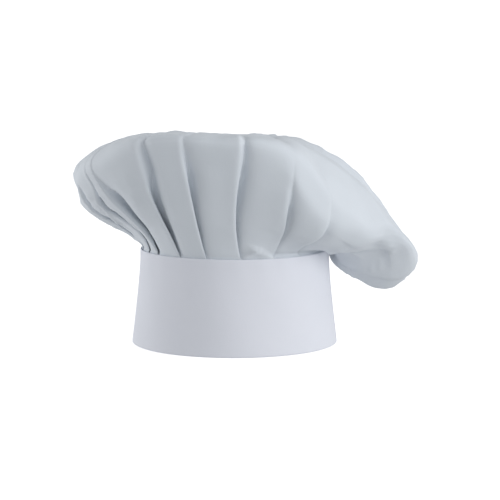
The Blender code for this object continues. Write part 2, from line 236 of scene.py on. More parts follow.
KNOTS = np.array(sorted(PROFILES), float)
TABLE = np.array([PROFILES[k] for k in sorted(PROFILES)], float)


def profile_points(azimuth):
    """Profile points for an array of azimuths: shape (N, points, 2), mm."""
    count = len(KNOTS)
    wrapped = (np.asarray(azimuth, float) - KNOTS[0]) % 360 + KNOTS[0]
    index = np.searchsorted(KNOTS, wrapped, side="right") - 1
    picks = [(index + shift) % count for shift in (-1, 0, 1, 2)]
    spans = [((KNOTS[b] - KNOTS[a]) % 360)[:, None, None] for a, b in zip(picks, picks[1:])]
    t = ((wrapped - KNOTS[picks[1]]) / spans[1][:, 0, 0])[:, None, None]
    return cubic(*[TABLE[p] for p in picks], spans, t)


DENSE = 16
RIM_SPAN = 6  # the rim is this many spans above the slot


def crown_surface(azimuth, rows_side, rows_top):
    """Points of the smooth crown, without pleats: shape (N, rows, 3), metres.

    azimuth is (N,). The rows are shares: 0 to 1 up the side, 1 to 2 over the top.
    """
    points = profile_points(azimuth)
    n = len(points)
    slot = np.array([[R_TOP * 1000 - 0.75, BAND_H * 1000 - 7.0], [R_TOP * 1000 - 1.35, BAND_H * 1000 + 0.6]])
    start = np.broadcast_to(slot, (n, 2, 2))
    centre = np.broadcast_to(np.array([[0.0, CENTRE_Z]]), (n, 1, 2))
    chain = np.concatenate([start, points, centre], axis=1)
    before = chain[:, :1] * np.array([1.0, 1.0]) - np.array([0.0, 6.0])
    after = chain[:, -2:-1] * np.array([-1.0, 1.0])
    full = np.concatenate([before, chain, after], axis=1)
    spans = chain.shape[1] - 1
    dense = []
    for span in range(spans):
        p0, p1, p2, p3 = (full[:, span + k] for k in range(4))
        t = (np.arange(DENSE) / DENSE)[None, :, None]
        dense.append(cubic(p0[:, None], p1[:, None], p2[:, None], p3[:, None], (1.0, 1.0, 1.0), t))
    dense = np.concatenate(dense + [chain[:, -1:]], axis=1)
    rim = (RIM_SPAN - 1) * DENSE
    result = []
    for part, rows in ((dense[:, :rim + 1], rows_side), (dense[:, rim:], rows_top - 1.0)):
        steps = np.linalg.norm(np.diff(part, axis=1), axis=-1)
        length = np.concatenate([np.zeros((n, 1)), np.cumsum(steps, axis=1)], axis=1)
        share = length / length[:, -1:]
        made = np.empty((n, len(rows), 2))
        for i in range(n):
            made[i, :, 0] = np.interp(rows, share[i], part[i, :, 0])
            made[i, :, 1] = np.interp(rows, share[i], part[i, :, 1])
        result.append(made)
    made = np.concatenate(result, axis=1) / 1000.0
    return polar(np.asarray(azimuth)[:, None], made[..., 0], made[..., 1])


def grid_normals(points):
    """Outward unit normals of a grid (column around, row up), closed around."""
    around = np.roll(points, -1, axis=0) - np.roll(points, 1, axis=0)
    up = np.gradient(points, axis=1)
    normal = np.cross(around, up)
    size = np.linalg.norm(normal, axis=-1, keepdims=True)
    normal = normal / np.maximum(size, 1e-12)
    normal[:, -1] = (0, 0, 1)
    return normal


# ---------------------------------------------------------------- crown cloth: slack by simulation

BASE_COLUMNS = 144
SIDE_ROWS = 26
TOP_ROWS = 30
base_azimuth = np.arange(BASE_COLUMNS) * 360.0 / BASE_COLUMNS
base_side = np.linspace(0.0, 1.0, SIDE_ROWS + 1)
base_top = 1.0 + np.linspace(0.0, 1.0, TOP_ROWS + 1)[1:]


def slackened(points, pinned, growth, frames, cap):
    """How the points shift once the cloth has grown by a share and settled, at most cap metres each."""
    obj = grid_object("crown_slack", points, True)
    group = obj.vertex_groups.new(name="hold")
    for index, weight in enumerate(pinned.ravel()):
        if weight > 0.001:
            group.add([index], float(weight), "REPLACE")
    modifier = obj.modifiers.new("slack", "CLOTH")
    settings = modifier.settings
    settings.quality = 5
    settings.mass = 0.12
    settings.tension_stiffness = 15
    settings.compression_stiffness = 15
    settings.shear_stiffness = 5
    settings.bending_stiffness = 0.05
    settings.air_damping = 1.0
    settings.vertex_group_mass = "hold"
    settings.pin_stiffness = 1.5
    settings.shrink_min = -growth
    settings.effector_weights.gravity = 0.35
    modifier.collision_settings.use_self_collision = False
    modifier.collision_settings.use_collision = False
    scene = bpy.context.scene
    modifier.point_cache.frame_start = 1
    modifier.point_cache.frame_end = frames + 1
    for number in range(1, frames + 1):
        scene.frame_set(number)
    apply_modifiers(obj)
    moved = np.empty(len(obj.data.vertices) * 3)
    obj.data.vertices.foreach_get("co", moved)
    moved = moved.reshape(points.shape)
    scene.frame_set(1)
    bpy.data.objects.remove(obj, do_unlink=True)
    shift = moved - points
    size = np.linalg.norm(shift, axis=-1, keepdims=True)
    return shift * np.minimum(1.0, cap / np.maximum(size, 1e-9))


def softened(values, passes):
    """Values on a grid, closed around, averaged with their neighbours a few times."""
    for _ in range(passes):
        values = (np.roll(values, 1, axis=0) + 2 * values + np.roll(values, -1, axis=0)) / 4
        padded = np.concatenate([values[:, :1], values, values[:, -1:]], axis=1)
        values = (padded[:, :-2] + 2 * values + padded[:, 2:]) / 4
    return values


base = crown_surface(base_azimuth, base_side, base_top)
slack = np.zeros(base.shape[:2] + (1,))  # how far the loose cloth stands off the smooth crown, metres
# The ring at the centre has no size, so the cloth stops one ring short of it.
rows = np.concatenate([base_side, base_top])[:-1]
hold = 1.0 - 0.80 * smooth((rows - 0.10) / 0.30)
hold = np.broadcast_to(hold, base[:, :-1].shape[:2])
shift = slackened(base[:, :-1], hold, 0.09, 24, 0.007)
standing = (shift * grid_normals(base)[:, :-1]).sum(axis=-1, keepdims=True)
# The pleated front is pressed and stays calm; the lobes, the top and the back hang loose.
to_front = np.abs((base_azimuth + 180 - 5) % 360 - 180)
calm = smooth((to_front - 85) / 35)[:, None] + 0.5 * smooth((rows - 1.05) / 0.3)[None, :]
slack[:, :-1] = softened(standing, 1) * (0.14 + 0.86 * np.clip(calm, 0, 1))[..., None]
slack[:, -1] = slack[:, -2].mean(axis=0)
# near the centre the columns crowd together, so they share one height
share = smooth((np.concatenate([base_side, base_top]) - 1.70) / 0.25)[None, :, None]
slack = slack * (1 - share) + slack.mean(axis=0, keepdims=True) * share


def even_cubic(p0, p1, p2, p3, t):
    """A Catmull-Rom step from p1 to p2 between evenly spaced points."""
    return 0.5 * (2 * p1 + (p2 - p0) * t + (2 * p0 - 5 * p1 + 4 * p2 - p3) * t ** 2
                  + (3 * p1 - p0 - 3 * p2 + p3) * t ** 3)


def resampled(values, columns, rows_at, source_rows):
    """Periodic cubic resampling of values[column, row] to fractional columns and rows."""
    n = values.shape[0]
    low = np.floor(columns).astype(int)
    t = (columns - low)[:, None, None]
    around = even_cubic(*(values[(low + k) % n] for k in (-1, 0, 1, 2)), t)
    place = np.interp(rows_at, source_rows, np.arange(len(source_rows)))
    low = np.clip(np.floor(place).astype(int), 0, len(source_rows) - 2)
    u = (place - low)[None, :, None]
    last = len(source_rows) - 1
    return even_cubic(*(around[:, np.clip(low + k, 0, last)] for k in (-1, 0, 1, 2)), u)


# ---------------------------------------------------------------- crown cloth: the pleats

PLEAT_POINTS = 24  # points across one pleat, from under one folded edge to under the next
FINE_SIDE = 64
FINE_TOP = 44
EVEN_COLUMNS = 720  # columns of the smooth crown that the pleats are read from

# One pleat's section, in shares of its width and of its depth, pressed flat at the band and opened out
# near the rim: the flat panel ends in a folded edge, turns under it and comes back out below the next panel.
PRESSED = np.array([
    (0.00, -0.92), (0.05, -0.55), (0.14, -0.16), (0.38, 0.00), (0.64, 0.02), (0.84, 0.07), (0.94, 0.12),
    (1.00, -0.02), (1.00, -0.42), (0.62, -0.85), (0.22, -1.10), (0.22, -1.55), (0.62, -1.45),
])
OPENED = np.array([
    (0.02, -0.96), (0.045, -0.72), (0.10, -0.32), (0.20, -0.06), (0.44, 0.00), (0.68, 0.00), (0.82, 0.07),
    (0.895, 0.08), (0.935, -0.14), (0.965, -0.48), (0.985, -0.80), (0.998, -0.96), (1.008, -1.00),
])


def ring_spline(control, samples, turn):
    """A closed uniform cubic B-spline through rows of control points; one lap adds turn."""
    count = len(control)
    place = np.arange(samples) / samples * count
    low = np.floor(place).astype(int)
    t = (place - low)[:, None]
    kernel = [(1 - t) ** 3 / 6, (3 * t ** 3 - 6 * t ** 2 + 4) / 6,
              (-3 * t ** 3 + 3 * t ** 2 + 3 * t + 1) / 6, t ** 3 / 6]
    total = 0.0
    for k, share in zip((-1, 0, 1, 2), kernel):
        index = low + k
        total = total + share * (control[index % count] + turn * np.floor_divide(index, count)[:, None])
    return total


fine_side = np.linspace(0.0, 1.0, FINE_SIDE + 1) ** 1.12
fine_top = 1.0 + np.linspace(0.0, 1.0, FINE_TOP + 1)[1:]
fine_rows = np.concatenate([fine_side, fine_top])


def edge_path(pleat, rows):
    """Azimuth of a pleat's folded edge at each row."""
    at = np.clip(rows, 0.06, 1.06)
    knots = (0.1, 0.3, 0.6, 0.9)
    total = 0.0
    for i, azimuth in enumerate(pleat[:4]):
        share = 1.0
        for j, other in enumerate(knots):
            if j != i:
                share = share * (at - other) / (knots[i] - other)
        total = total + azimuth * share
    return total


# Each panel runs from one folded edge to the next; the list is in order of azimuth.
order = sorted(PLEATS, key=lambda pleat: pleat[0] % 360)
pleat_count = len(order)
relief = 0.00035 + 0.0018 * smooth((fine_rows - 0.045) / 0.09)
relief = relief + 0.0024 * smooth((fine_rows - 0.08) / 0.32) + 0.0014 * smooth((fine_rows - 0.4) / 0.5)

control_azimuth = []
control_height = []
for k, pleat in enumerate(order):
    nearer = order[k - 1]
    first = edge_path(nearer, fine_rows)
    width = (edge_path(pleat, fine_rows) - first) % 360
    gape = 1 + (nearer[6] - 1) * np.array([1.0, 1.0, 1.0, 0.8] + [0.0] * 9)[:, None]
    # the near end of the panel belongs to the edge before it, the far end to its own
    toward = smooth(np.linspace(0.0, 1.0, 13)[:, None] / 0.5)
    pressed = sum(
        part * (1 - smooth((fine_rows - 0.06) / owner[7]))
        for part, owner in ((1 - toward, nearer), (toward, pleat))
    )
    across = PRESSED[:, 0][:, None] * pressed + (OPENED[:, 0][:, None] * gape) * (1 - pressed)
    height = PRESSED[:, 1][:, None] * pressed + OPENED[:, 1][:, None] * (1 - pressed)
    sizes = []
    for owner in (nearer, pleat):
        fade = 1 - smooth((fine_rows - owner[5] + 0.16) / 0.34)
        sizes.append(owner[4] * (0.92 * fade + 0.08 * (1 - smooth((fine_rows - 1.0) / 0.60))))
    # an opened fold's crest stands back from its edge, so its section moves over by as much
    control_azimuth.append(first + width * across + 1.0 * (1 - pressed))
    control_height.append(height * (sizes[0] * (1 - toward) + sizes[1] * toward))
control_azimuth = np.concatenate(control_azimuth)
control_azimuth = np.unwrap(control_azimuth, axis=0, period=360)
fine_azimuth = ring_spline(control_azimuth, pleat_count * PLEAT_POINTS, 360.0)
fine_height = ring_spline(np.concatenate(control_height), pleat_count * PLEAT_POINTS, 0.0) * relief


def creased(grid, azimuths, rows):
    """Height of the creases over the smooth crown, in metres, for grid[azimuth, row]."""
    radius = np.hypot(grid[..., 0], grid[..., 1]) * 1000
    steps = np.linalg.norm(np.diff(grid, axis=1), axis=-1) * 1000
    up = np.concatenate([np.zeros((len(grid), 1)), np.cumsum(steps, axis=1)], axis=1)

    def found(values, azimuth, row):
        column = int(round((azimuth % 360) / 360 * len(azimuths))) % len(azimuths)
        return float(np.interp(row, rows, values[column]))

    total = np.zeros(radius.shape)
    for start_azimuth, start_row, end_azimuth, end_row, height, left, right in all_creases:
        middle = (start_azimuth + end_azimuth) / 2
        turn = (azimuths - middle + 180) % 360 - 180
        near = np.abs(turn) < abs(end_azimuth - start_azimuth) / 2 + 16
        x = np.radians(turn[near])[:, None] * radius[near]
        y = up[near]
        x0 = math.radians(start_azimuth - middle) * found(radius, start_azimuth, start_row)
        x1 = math.radians(end_azimuth - middle) * found(radius, end_azimuth, end_row)
        y0 = found(up, start_azimuth, start_row)
        y1 = found(up, end_azimuth, end_row)
        dx, dy = x1 - x0, y1 - y0
        size = math.hypot(dx, dy)
        along = ((x - x0) * dx + (y - y0) * dy) / size ** 2
        aside = (-(x - x0) * dy + (y - y0) * dx) / size  # positive on the left
        past = np.maximum(np.maximum(-along, along - 1), 0) * size
        width = np.where(aside > 0, left, right)
        ends = np.exp(-(past / 5.0) ** 2)
        total[near] += height * np.exp(-np.abs(aside / width) ** 1.6) * ends
    return total[..., None] / 1000


def loose_creases(seed, count):
    """Small seeded creases where the cloth hangs loose: the lobes, the back and the top."""
    rng = np.random.default_rng(seed)
    made = []
    for _ in range(count):
        azimuth = rng.uniform(56, 296)
        row = rng.uniform(0.25, 1.55)
        if row < 1.0:
            end_azimuth, end_row = azimuth + rng.normal(0, 5), row + rng.uniform(0.12, 0.40)
        else:
            azimuth = rng.uniform(0, 360)
            end_azimuth, end_row = azimuth + rng.normal(0, 14), row + rng.uniform(0.05, 0.25)
        height = rng.uniform(0.5, 1.7) * rng.choice([1, 1, -0.8])
        widths = rng.uniform(1.3, 5.0), rng.uniform(1.3, 5.0)
        made.append((azimuth, row, end_azimuth, end_row, height, *widths))
    return made


all_creases = list(CREASES) + loose_creases(21, 60)


def crown_points():
    """The fine crown: the slack surface read at each point's azimuth, and its pleat standing out of it."""
    columns, rows = fine_azimuth.shape
    step = 360 / EVEN_COLUMNS
    even = np.arange(EVEN_COLUMNS) * step
    smooth_grid = crown_surface(even, fine_side, fine_top)
    normals = grid_normals(smooth_grid)
    base_rows = np.concatenate([base_side, base_top])
    standing = resampled(slack, even / (360.0 / BASE_COLUMNS), fine_rows, base_rows)
    off_the_band = smooth((fine_rows - 0.05) / 0.06)[None, :, None]
    standing = standing + creased(smooth_grid, even, fine_rows) * off_the_band
    smooth_grid = smooth_grid + normals * standing
    place = (fine_azimuth % 360) / step
    low = np.floor(place).astype(int)
    t = (place - low)[..., None]
    row = np.broadcast_to(np.arange(rows)[None, :], place.shape)
    first, second = low % EVEN_COLUMNS, (low + 1) % EVEN_COLUMNS
    here = smooth_grid[first, row] * (1 - t) + smooth_grid[second, row] * t
    out = normals[first, row] * (1 - t) + normals[second, row] * t
    return here + out * fine_height[..., None]


points = crown_points()
turn = np.linspace(0, 1, points.shape[0] + 1)[:, None] * CROWN_CUT * math.pi * 0.6
up = np.cumsum(np.concatenate([[0.0], np.diff(fine_rows)]))[None, :] * 0.13
uv = (np.broadcast_to(turn, (points.shape[0] + 1, points.shape[1])),
      np.broadcast_to(up, (points.shape[0] + 1, points.shape[1])))
crown = grid_object("crown_cloth", points, True, uv)
thicken(crown, CLOTH)
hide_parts("crown")
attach(crown, "hat")

# ---------------------------------------------------------------- materials

def set_inputs(node, **values):
    """Sets a node's inputs; an underscore in a name stands for a space."""
    for key, value in values.items():
        node.inputs[key.replace("_", " ")].default_value = value


class Nodes:
    """A small helper that adds shader nodes to one material."""

    def __init__(self, name):
        self.material = bpy.data.materials.new(name)
        self.material.use_nodes = True
        self.tree = self.material.node_tree
        self.shader = self.tree.nodes["Principled BSDF"]

    def add(self, kind, **values):
        node = self.tree.nodes.new(kind)
        for key, value in values.items():
            setattr(node, key, value)
        return node

    def feed(self, socket, value):
        if isinstance(value, bpy.types.NodeSocket):
            self.tree.links.new(value, socket)
        else:
            socket.default_value = value

    def math(self, operation, *values):
        node = self.add("ShaderNodeMath", operation=operation)
        for socket, value in zip(node.inputs, values):
            self.feed(socket, value)
        return node.outputs[0]

    def noise(self, vector, scale, detail=3.0, roughness=0.55):
        node = self.add("ShaderNodeTexNoise")
        self.feed(node.inputs["Vector"], vector)
        set_inputs(node, Scale=scale, Detail=detail, Roughness=roughness)
        return node.outputs["Fac"]

    def stretch(self, vector, scale):
        node = self.add("ShaderNodeMapping")
        self.feed(node.inputs["Vector"], vector)
        node.inputs["Scale"].default_value = scale
        return node.outputs[0]

    def ramp(self, value, low, high, to_low, to_high):
        node = self.add("ShaderNodeMapRange")
        self.feed(node.inputs["Value"], value)
        set_inputs(node, From_Min=low, From_Max=high, To_Min=to_low, To_Max=to_high)
        return node.outputs[0]

    def blend(self, share, first, second):
        node = self.add("ShaderNodeMix", data_type="RGBA")
        self.feed(node.inputs["Factor"], share)
        self.feed(node.inputs["A"], (*first, 1.0))
        self.feed(node.inputs["B"], (*second, 1.0))
        return node.outputs["Result"]

    def bump(self, height, strength, distance, below=None):
        node = self.add("ShaderNodeBump")
        self.feed(node.inputs["Height"], height)
        set_inputs(node, Strength=strength, Distance=distance)
        if below is not None:
            self.feed(node.inputs["Normal"], below)
        return node.outputs[0]


def poplin(name, light, shade, thread=0.00036):
    """Plain-weave cotton: crossing threads, thicker slubs along both, faint uneven tone and soft creases."""
    n = Nodes(name)
    uv = n.add("ShaderNodeUVMap", uv_map="cloth").outputs[0]
    place = n.add("ShaderNodeTexCoord").outputs["Object"]
    split = n.add("ShaderNodeSeparateXYZ")
    n.feed(split.inputs[0], uv)
    turns = math.pi / thread
    warp = n.math("SINE", n.math("MULTIPLY", split.outputs[0], turns))
    weft = n.math("SINE", n.math("MULTIPLY", split.outputs[1], turns))
    weave = n.math("MULTIPLY", warp, weft)
    slub_up = n.noise(n.stretch(uv, (1400, 90, 1)), 1.0, 2.0)
    slub_round = n.noise(n.stretch(uv, (90, 1400, 1)), 1.0, 2.0)
    slubs = n.math("ADD", slub_up, slub_round)
    tone = n.noise(place, 14.0, 4.0)
    mottle = n.math("ADD", n.math("MULTIPLY", tone, 0.7), n.math("MULTIPLY", slubs, 0.22))
    n.feed(n.shader.inputs["Base Color"], n.blend(n.ramp(mottle, 0.35, 0.85, 0, 1), shade, light))
    n.feed(n.shader.inputs["Roughness"], n.ramp(slubs, 0.6, 1.4, 0.80, 0.93))
    set_inputs(n.shader, Sheen_Weight=0.12, Sheen_Roughness=0.45, Specular_IOR_Level=0.25)
    creases = n.bump(n.noise(place, 55.0, 5.0, 0.6), 0.12, 0.0016)
    threads = n.bump(slubs, 0.25, 0.00022, creases)
    n.feed(n.shader.inputs["Normal"], n.bump(weave, 0.30, 0.00010, threads))
    return n.material


# The crown is the same white poplin as the band; its darker, cooler colours are painted shade for the light
# its flaring walls miss.
crown_cotton_painted_shade = poplin("crown_cotton_painted_shade", (0.735, 0.775, 0.825), (0.695, 0.740, 0.790))
band_cotton = poplin("band_cotton", (0.800, 0.815, 0.880), (0.765, 0.785, 0.850))
crown.data.materials.append(crown_cotton_painted_shade)


def plain(name, light, shade, roughness, grain, detail):
    """A material whose tone and height come from one noise of the given grain (cells in a metre)."""
    n = Nodes(name)
    place = n.add("ShaderNodeTexCoord").outputs["Object"]
    fibres = n.noise(place, grain, 5.0, 0.65)
    n.feed(n.shader.inputs["Base Color"], n.blend(n.ramp(fibres, 0.35, 0.65, 0, 1), shade, light))
    n.feed(n.shader.inputs["Roughness"], n.ramp(fibres, 0.3, 0.7, roughness - 0.06, roughness + 0.06))
    n.feed(n.shader.inputs["Normal"], n.bump(fibres, 0.5, detail))
    return n


nonwoven = plain("nonwoven", (0.88, 0.88, 0.86), (0.78, 0.78, 0.76), 0.88, 900.0, 0.0002).material
loop_fabric = plain("loop_fabric", (0.84, 0.84, 0.84), (0.72, 0.72, 0.73), 0.90, 1600.0, 0.0001)
set_inputs(loop_fabric.shader, Sheen_Weight=0.35)
loop_fabric = loop_fabric.material
hook_nylon = plain("hook_nylon", (0.86, 0.86, 0.85), (0.78, 0.78, 0.78), 0.38, 1200.0, 0.00005).material


def twisted(name):
    """Two-ply sewing thread: the twist runs round each stitch."""
    n = Nodes(name)
    uv = n.add("ShaderNodeUVMap", uv_map="cloth").outputs[0]
    split = n.add("ShaderNodeSeparateXYZ")
    n.feed(split.inputs[0], uv)
    along = n.math("MULTIPLY", split.outputs[0], 2 * math.pi / 0.0005)
    around = n.math("MULTIPLY", split.outputs[1], 4 * math.pi)
    ply = n.math("SINE", n.math("ADD", along, around))
    # The base colour is darker where the ply wave is low, in the grooves between the plies: painted shade.
    n.feed(n.shader.inputs["Base Color"],
           n.blend(n.ramp(ply, -1, 1, 0, 1), (0.66, 0.67, 0.70), (0.86, 0.87, 0.90)))
    n.feed(n.shader.inputs["Roughness"], n.ramp(ply, -1, 1, 0.62, 0.48))
    n.feed(n.shader.inputs["Normal"], n.bump(ply, 0.6, 0.00006))
    return n.material


def satin(name):
    """Ribbon satin: long floats across and a soft gloss."""
    n = Nodes(name)
    uv = n.add("ShaderNodeUVMap", uv_map="cloth").outputs[0]
    floats = n.noise(n.stretch(uv, (600, 9000, 1)), 1.0, 2.0)
    n.feed(n.shader.inputs["Base Color"],
           n.blend(n.ramp(floats, 0.3, 0.7, 0, 1), (0.78, 0.79, 0.80), (0.88, 0.88, 0.88)))
    n.feed(n.shader.inputs["Roughness"], n.ramp(floats, 0.3, 0.7, 0.30, 0.45))
    set_inputs(n.shader, Sheen_Weight=0.10)
    n.feed(n.shader.inputs["Normal"], n.bump(floats, 0.3, 0.00006))
    return n.material


sewing_thread = twisted("sewing_thread")
label_satin = satin("label_satin_ribbon")

# ---------------------------------------------------------------- the band and its free end

swell = wander(3, 7, 2, 9)
ripple = wander(11, 9, 9, 30)
SECTION_FACE = 30
SECTION_INNER = 14


def rounded(centre, radius_out, radius_up, start, end, count):
    """Points on part of an ellipse, in (outward, up)."""
    angles = np.radians(np.linspace(start, end, count))
    return [(centre[0] + radius_out * math.cos(a), centre[1] + radius_up * math.sin(a)) for a in angles]


def band_section(thickness, bottom, top):
    """The folded cloth's line, in metres outside the outer face and up: from inside the slot, over the top
    edge, down the outer face, round the rim's fold, up the inner face and back into the slot."""
    skin = CLOTH / 2
    lip = 0.0003
    rim = thickness / 2 - skin
    outer = [(-skin - 2 * lip, top - 0.009), (-skin - 2 * lip, top - 0.005)]
    outer += rounded((-skin - lip, top - 0.0012), lip, 0.0011, 180, 0, 7)
    outer += [(-skin, z) for z in np.linspace(top - 0.0024, bottom + 0.0022, SECTION_FACE)]
    turn = rounded((-thickness / 2, bottom + 0.0012), rim, 0.0012 - skin, 0, -180, 9)
    inner = [(-thickness + skin, z) for z in np.linspace(bottom + 0.0024, top - 0.0024, SECTION_INNER)]
    inner += rounded((-thickness + skin + lip, top - 0.0012), lip, 0.0011, 180, 0, 7)
    inner += [(-thickness + skin + 2 * lip, top - 0.005), (-thickness + skin + 2 * lip, top - 0.009)]
    return np.array(outer + turn + inner)


def wobble(azimuth, z):
    """How far the band's cloth stands off its cone: a slack waist, long swells and fine ripples."""
    share = np.clip(z / BAND_H, 0, 1)
    loose = np.sin(np.pi * share)
    waist = -0.0009 * loose + 0.0005 * smooth((share - 0.86) / 0.12)
    wave = 0.0006 * swell(azimuth, share * 0.8) * (0.35 + 0.65 * loose)
    return waist + wave + 0.00018 * ripple(azimuth, share * 0.5) * smooth((share - 0.55) / 0.45)


def band_points(azimuths, proud, thickness, bottom, top):
    """The folded cloth over a run of azimuths; proud, thickness, bottom and top are one value for each."""
    made = []
    for azimuth, out, thick, low, high in zip(azimuths, proud, thickness, bottom, top):
        section = band_section(thick, low, high)
        z = section[:, 1]
        made.append(polar(azimuth, band_radius(z) + section[:, 0] + out + wobble(azimuth, z), z))
    return np.array(made)


def section_lengths(points):
    steps = np.linalg.norm(np.diff(points, axis=-2), axis=-1)
    return np.concatenate([np.zeros(steps.shape[:-1] + (1,)), np.cumsum(steps, axis=-1)], axis=-1)


def laid(azimuths, up):
    """Cloth coordinates: length around the band, from azimuths, and the given length up it."""
    return np.broadcast_to((np.radians(azimuths) * LAID_RADIUS)[:, None], up.shape), up


def band_object(name, azimuths, points):
    """The folded cloth from its points, laid out flat for the weave."""
    made = grid_object(name, points, False, laid(azimuths, section_lengths(points)))
    thicken(made, CLOTH, 0.0)
    made.data.materials.append(band_cotton)
    return made


SPLIT = TAB_ROOT + 1.0
under_end = TAB_ROOT - arc(TAB_JOG)
tab_end = TAB_ROOT - arc(TAB_LENGTH)
main_azimuths = np.linspace(SPLIT, under_end + 360, 356)
ones = np.ones_like(main_azimuths)
end_fade = smooth((under_end + 360 - main_azimuths) / 1.6)
band = band_object(
    "band_cloth",
    main_azimuths,
    band_points(main_azimuths, 0 * ones, BAND_INSET * (0.45 + 0.55 * end_fade), 0 * ones, BAND_H * ones),
)
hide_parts("band_cover")
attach(band, "hat")

tab_azimuths = np.concatenate([
    np.linspace(SPLIT, TAB_ROOT, 12)[:-1],
    np.linspace(TAB_ROOT, under_end, 14)[:-1],
    np.linspace(under_end, tab_end, 34),
])
stepped = smooth((TAB_ROOT - tab_azimuths) / (TAB_ROOT - under_end))
end_round = np.sqrt(np.clip((tab_azimuths - tab_end) / arc(0.0016), 0.04, 1))
tab_thick = BAND_INSET + (0.0026 - BAND_INSET) * stepped
tab = band_object(
    "tab_cloth",
    tab_azimuths,
    band_points(
        tab_azimuths,
        TAB_PROUD * stepped - 0.5 * tab_thick * (1 - end_round),
        tab_thick * end_round + 0.0002 * (1 - end_round),
        TAB_Z[0] * stepped,
        BAND_H + (TAB_Z[1] - BAND_H) * stepped,
    ),
)
root = Vector(polar(TAB_ROOT, band_radius(0.044), 0.044).tolist())
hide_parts("closure_tab_cover")

# ---------------------------------------------------------------- interfacing, tapes, stitches and label


def on_face(azimuth, z, proud):
    """A point that follows the band's cloth, proud metres outside its cone."""
    return polar(azimuth, band_radius(z) + proud + wobble(azimuth, z), z)


def stiffener(name, azimuths, z_low, z_high, proud, node):
    """A nonwoven strip between the two layers of cloth."""
    heights = np.linspace(z_low, z_high, 24)
    points = np.array([on_face(a, heights, p) for a, p in zip(azimuths, proud)])
    made = grid_object(name, points, False, laid(azimuths, np.broadcast_to(heights, points.shape[:2])))
    thicken(made, 0.0006, 0.0)
    made.data.materials.append(nonwoven)
    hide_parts(node)
    return made


core_azimuths = np.linspace(SPLIT + 1.5, under_end + 360 - 1.5, 180)
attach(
    stiffener("band_stiffener", core_azimuths, 0.0014, 0.0760, np.full(180, -BAND_INSET / 2),
              "band_interfacing"),
    "hat",
)
tab_core_azimuths = np.linspace(under_end - 0.6, tab_end + 1.5, 30)
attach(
    stiffener("tab_stiffener", tab_core_azimuths, TAB_Z[0] + 0.0014, TAB_Z[1] - 0.0025,
              np.full(30, TAB_PROUD - 0.0013), "closure_tab_interfacing"),
    "closure_tab",
)


def tube(line, radii, sides=6, normal=None):
    """A closed round tube along a line of points, with a radius for each point."""
    line = np.asarray(line, float)
    direction = np.gradient(line, axis=0)
    direction /= np.linalg.norm(direction, axis=1, keepdims=True)
    guide = np.array([0.0, 0.0, 1.0]) if normal is None else np.asarray(normal, float)
    guide = np.broadcast_to(guide, line.shape)
    side = np.cross(direction, guide)
    side /= np.maximum(np.linalg.norm(side, axis=1, keepdims=True), 1e-9)
    up = np.cross(side, direction)
    angles = np.arange(sides) * 2 * math.pi / sides
    ring = np.cos(angles)[None, :, None] * side[:, None] + np.sin(angles)[None, :, None] * up[:, None]
    body = line[:, None] + ring * np.asarray(radii, float)[:, None, None]
    count = len(line)
    vertices = np.concatenate([body.reshape(-1, 3), line[:1], line[-1:]])
    index = np.arange(count * sides).reshape(count, sides)
    turned = np.roll(index, -1, axis=1)
    quads = np.stack([index[:-1], turned[:-1], turned[1:], index[1:]], axis=-1).reshape(-1, 4)
    start = np.stack([np.full(sides, count * sides), turned[0], index[0], index[0]], axis=-1)
    end = np.stack([np.full(sides, count * sides + 1), index[-1], turned[-1], turned[-1]], axis=-1)
    length = np.concatenate([[0.0], np.cumsum(np.linalg.norm(np.diff(line, axis=0), axis=1))])
    uv = np.stack(np.broadcast_arrays(length[:, None], (angles / (2 * math.pi))[None, :]), axis=-1)
    uv = np.concatenate([uv.reshape(-1, 2), [[0.0, 0.5], [length[-1], 0.5]]])
    return vertices, quads, np.array([start, end]).reshape(-1, 4), uv


def joined(parts, name, surface):
    """A mesh from tubes; their caps are triangles."""
    vertices = []
    faces = []
    uvs = []
    total = 0
    for part_vertices, quads, caps, uv in parts:
        vertices.append(part_vertices)
        uvs.append(uv)
        faces += (quads + total).tolist()
        faces += [cap[:3] for cap in (caps + total).tolist()]
        total += len(part_vertices)
    vertices = np.concatenate(vertices)
    uvs = np.concatenate(uvs)
    mesh = bpy.data.meshes.new(name)
    mesh.from_pydata(vertices.tolist(), [], faces)
    layer = mesh.uv_layers.new(name="cloth")
    flat = np.fromiter((v for face in faces for v in face), int)
    layer.data.foreach_set("uv", uvs[flat].astype(np.float32).ravel())
    mesh.shade_smooth()
    mesh.materials.append(surface)
    made = bpy.data.objects.new(name, mesh)
    bpy.context.scene.collection.objects.link(made)
    return made


STITCH_PITCH = 0.0031
STITCH_LENGTH = 0.0027
STITCH_RADIUS = 0.00023


def stitches(name, node, body, corners, proud, side):
    """Separate lockstitches along straight runs between (azimuth, z) corners, on the face at proud metres.

    side is 1 on an outer face and -1 on an inner one."""
    parts = []
    for (a0, z0), (a1, z1) in zip(corners, corners[1:]):
        run = math.hypot(math.radians(a1 - a0) * LAID_RADIUS, z1 - z0)
        count = max(1, round(run / STITCH_PITCH))
        for number in range(count):
            middle = (number + 0.5) / count
            half = 0.5 * STITCH_LENGTH / run
            t = np.linspace(middle - half, middle + half, 7)
            arch = np.sin(np.pi * np.linspace(0, 1, 7))
            lift = side * (0.00020 * arch - 0.00008)
            azimuth = a0 + (a1 - a0) * t
            height = z0 + (z1 - z0) * t
            line = on_face(azimuth, height, proud + lift)
            outward = polar(a0 + (a1 - a0) * middle, 1.0, 0.0)
            parts.append(tube(line, STITCH_RADIUS * np.maximum(arch, 0.35) ** 0.5, 8, outward))
    made = joined(parts, name, sewing_thread)
    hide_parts(node)
    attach(made, body)
    return made


def box_corners(first, last, inset):
    a, b = first - arc(inset), last + arc(inset)
    low, high = TAPE_Z[0] + inset, TAPE_Z[1] - inset
    return [(a, low), (b, low), (b, high), (a, high), (a, low)]


